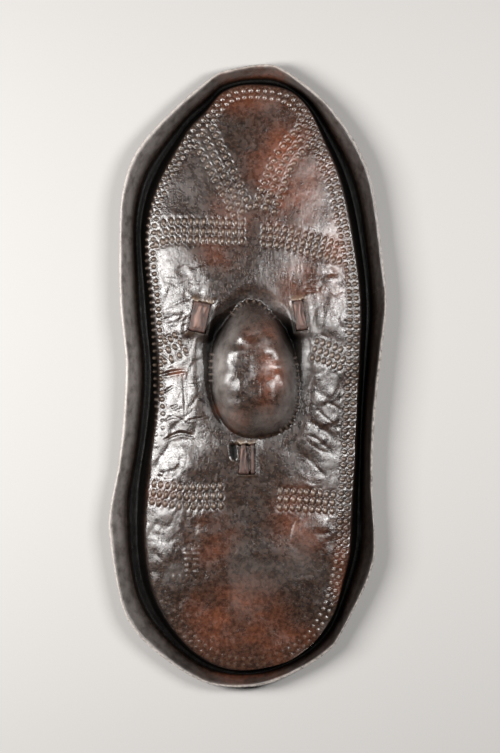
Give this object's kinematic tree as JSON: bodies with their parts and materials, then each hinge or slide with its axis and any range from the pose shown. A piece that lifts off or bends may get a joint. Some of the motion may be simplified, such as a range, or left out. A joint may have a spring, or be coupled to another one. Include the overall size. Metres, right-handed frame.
{
  "type": "hide shield",
  "caption": "Long oval shield of moulded hide with a domed field, deep channel, upturned rim, hand boss, bead rows, hide thongs and a wooden grip behind.",
  "frame": {"origin": "on the surface it lies on, midway between the extremes of its outline", "axes": "+Z out of the face, +Y to the shield's top, +X to the right as seen from the front"},
  "size_m": [0.445, 1.0001, 0.1012],
  "materials": {
    "hide": "glossy dark patina, worn reddish brown in places, finely wrinkled",
    "thong": "rubbed reddish brown",
    "grip_wood": "dark, polished by handling"
  },
  "bodies": {
    "root": {"hide": "hide", "thong_upper_left": "thong", "thong_upper_right": "thong", "thong_lower": "thong", "grip": "grip_wood"}
  },
  "joints": []
}
